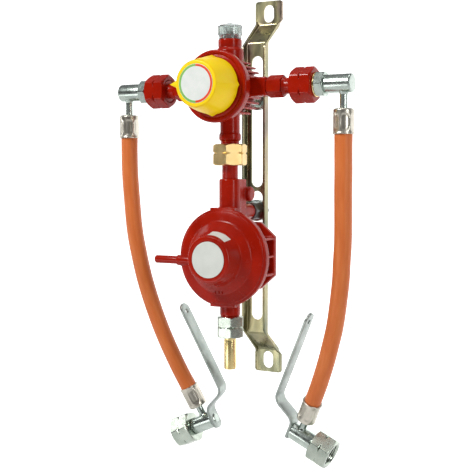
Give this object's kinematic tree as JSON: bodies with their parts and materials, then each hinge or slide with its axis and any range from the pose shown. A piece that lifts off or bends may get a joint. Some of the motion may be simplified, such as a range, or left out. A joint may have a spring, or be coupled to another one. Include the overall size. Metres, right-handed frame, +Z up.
{
  "type": "two-cylinder changeover gas regulator with hoses",
  "caption": "Wall-mounted changeover gas regulator on a slotted bracket: turning knob, low-pressure stage below, and hoses with hand-tightened cylinder nuts.",
  "frame": {"origin": "centre of the two wall slots, on the plane of the wall", "axes": "+Z up, -Y away from the wall towards the knob, +X to the right as seen from the front"},
  "size_m": [0.2594, 0.1503, 0.4736],
  "materials": {
    "red_powder_coat": "gloss powder coat",
    "yellow_plastic": "smooth moulded",
    "chromate_sheet": "yellow zinc chromate on sheet steel",
    "zinc_steel": "blue zinc plating",
    "lever_steel": "matt zinc plating",
    "dark_steel": "dark zinc plating",
    "nickel_steel": "nickel plated, crimped",
    "spring_steel": "drawn wire",
    "satin_brass": "satin",
    "bright_brass": "turned, bright",
    "black_rubber": "smooth",
    "orange_hose": "smooth matt cover",
    "clear_plastic": "clear moulded",
    "red_plastic": "smooth",
    "white_plastic": "smooth",
    "plain_label": "plain label without text"
  },
  "bodies": {
    "frame": {"bracket": "chromate_sheet", "mounting_studs": "zinc_steel", "upper_stud_nuts": "zinc_steel", "lower_stud_nuts": "dark_steel", "stud_washers": "zinc_steel", "valve_body": "red_powder_coat", "valve_bonnet": "red_powder_coat", "valve_diaphragm": "black_rubber", "left_inlet_fitting": "red_powder_coat", "right_inlet_fitting": "red_powder_coat", "poppet_springs": "spring_steel", "indicator_cap": "clear_plastic", "indicator_collar": "red_plastic", "indicator_spring": "spring_steel", "union_seals": "black_rubber", "thrust_rings": "satin_brass", "centre_seal": "black_rubber", "inlet_pipe": "red_powder_coat", "regulator_body": "red_powder_coat", "regulator_cover": "red_powder_coat", "rating_plate": "plain_label", "regulator_diaphragm": "black_rubber", "spring_adjuster": "bright_brass", "lever_pin": "zinc_steel", "valve_seat": "bright_brass", "vent_tube": "red_powder_coat", "outlet_stub": "bright_brass", "compression_ring": "bright_brass", "left_top_elbow": "zinc_steel", "right_top_elbow": "zinc_steel", "left_top_ferrule": "nickel_steel", "right_top_ferrule": "nickel_steel", "left_hose": "orange_hose", "right_hose": "orange_hose", "left_bottom_ferrule": "nickel_steel", "right_bottom_ferrule": "nickel_steel", "left_bottom_elbow": "zinc_steel", "right_bottom_elbow": "zinc_steel", "left_lever": "lever_steel", "right_lever": "lever_steel", "cylinder_seals": "black_rubber"},
    "changeover_knob": {"changeover_knob": "yellow_plastic", "knob_face": "plain_label", "knob_spindle": "zinc_steel"},
    "valve_plate": {"valve_plate": "zinc_steel", "valve_spring": "spring_steel"},
    "left_poppet": {"left_poppet": "bright_brass"},
    "right_poppet": {"right_poppet": "bright_brass"},
    "indicator_plunger": {"indicator_plunger": "white_plastic"},
    "left_union_nut": {"left_union_nut": "red_powder_coat"},
    "right_union_nut": {"right_union_nut": "red_powder_coat"},
    "centre_nut": {"centre_nut": "satin_brass"},
    "outlet_nut": {"outlet_nut": "zinc_steel"},
    "regulator_plate": {"regulator_plate": "zinc_steel", "regulator_spring": "spring_steel"},
    "valve_lever": {"valve_lever": "zinc_steel"},
    "valve_piston": {"valve_piston": "bright_brass"},
    "left_cylinder_nut": {"left_cylinder_nut": "zinc_steel"},
    "right_cylinder_nut": {"right_cylinder_nut": "zinc_steel"}
  },
  "joints": [
    {"name": "knob_turn", "type": "hinge", "parent": "frame", "child": "changeover_knob", "pos_m": [0, -0.085, 0.099], "axis": [0, 1, 0], "range_deg": [0, 180]},
    {"name": "valve_plate_slide", "type": "slide", "parent": "frame", "child": "valve_plate", "axis": [0, -1, 0], "range_m": [0, 0.001], "stiffness_N_per_m": 400, "springref_m": -0.003},
    {"name": "left_poppet_slide", "type": "slide", "parent": "frame", "child": "left_poppet", "axis": [-1, 0, 0], "range_m": [0, 0.0015], "stiffness_N_per_m": 60, "springref_m": -0.004},
    {"name": "right_poppet_slide", "type": "slide", "parent": "frame", "child": "right_poppet", "axis": [1, 0, 0], "range_m": [0, 0.0015], "stiffness_N_per_m": 60, "springref_m": -0.004},
    {"name": "indicator_slide", "type": "slide", "parent": "frame", "child": "indicator_plunger", "axis": [0, 0, 1], "range_m": [0, 0.0035], "stiffness_N_per_m": 80, "springref_m": -0.003, "deforming": ["indicator_spring"]},
    {"name": "left_union_nut_turn", "type": "hinge", "parent": "frame", "child": "left_union_nut", "pos_m": [-0.0805, -0.085, 0.099], "axis": [-1, 0, 0], "continuous": true},
    {"name": "right_union_nut_turn", "type": "hinge", "parent": "frame", "child": "right_union_nut", "pos_m": [0.0805, -0.085, 0.099], "axis": [1, 0, 0], "continuous": true},
    {"name": "centre_nut_turn", "type": "hinge", "parent": "frame", "child": "centre_nut", "pos_m": [0, -0.085, 0.0345], "axis": [0, 0, 1], "continuous": true},
    {"name": "outlet_nut_turn", "type": "hinge", "parent": "frame", "child": "outlet_nut", "pos_m": [0, -0.085, -0.135], "axis": [0, 0, -1], "continuous": true},
    {"name": "regulator_plate_slide", "type": "slide", "parent": "frame", "child": "regulator_plate", "axis": [0, -1, 0], "range_m": [0, 0.002], "stiffness_N_per_m": 600, "springref_m": -0.003},
    {"name": "valve_lever_turn", "type": "hinge", "parent": "frame", "child": "valve_lever", "pos_m": [0, -0.0764, -0.0455], "axis": [1, 0, 0], "range_deg": [-6, 0]},
    {"name": "valve_piston_slide", "type": "slide", "parent": "frame", "child": "valve_piston", "axis": [0, 0, 1], "range_m": [0, 0.0009]},
    {"name": "left_cylinder_nut_turn", "type": "hinge", "parent": "frame", "child": "left_cylinder_nut", "pos_m": [-0.07997, -0.03789, -0.26002], "axis": [-0.9063, 0, -0.4226], "continuous": true},
    {"name": "right_cylinder_nut_turn", "type": "hinge", "parent": "frame", "child": "right_cylinder_nut", "pos_m": [0.07997, -0.03789, -0.26002], "axis": [0.9063, 0, -0.4226], "continuous": true}
  ],
  "couplings": [
    {"joint": "valve_lever_turn", "follows": "regulator_plate_slide", "rad_per_m": -50},
    {"joint": "valve_piston_slide", "follows": "regulator_plate_slide", "ratio": 0.43}
  ]
}
